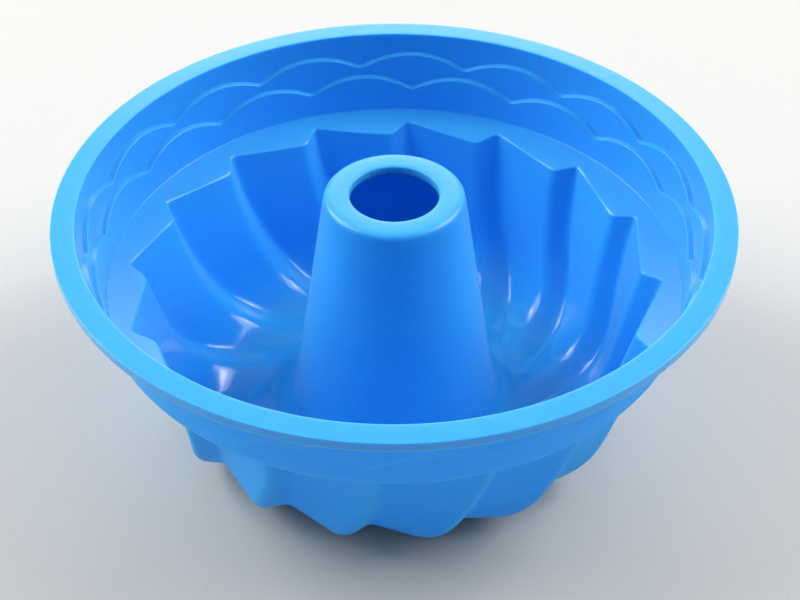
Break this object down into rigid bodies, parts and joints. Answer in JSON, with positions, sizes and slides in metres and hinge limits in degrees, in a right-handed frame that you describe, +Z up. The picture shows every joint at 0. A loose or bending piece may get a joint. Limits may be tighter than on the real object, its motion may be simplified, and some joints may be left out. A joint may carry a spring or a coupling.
{
  "type": "kugelhopf mould",
  "caption": "Round ring-cake mould of soft silicone: flat rim, scalloped collar, swirled flutes and a hollow tapered centre tube.",
  "frame": {"origin": "centre of the flat ring that the mould stands on, at table level", "axes": "+Z up along the centre tube; -Y faces the viewer of the picture, +X to the viewer's right"},
  "size_m": [0.23, 0.23, 0.0943],
  "materials": {
    "silicone": "moulded blue silicone, satin inside, fine matt grain outside"
  },
  "bodies": {
    "root": {"rim_flange": "silicone", "scalloped_collar": "silicone", "flute_ledge": "silicone", "fluted_wall": "silicone", "fluted_heel": "silicone", "fluted_floor": "silicone", "centre_tube": "silicone", "tube_top": "silicone"}
  },
  "joints": []
}
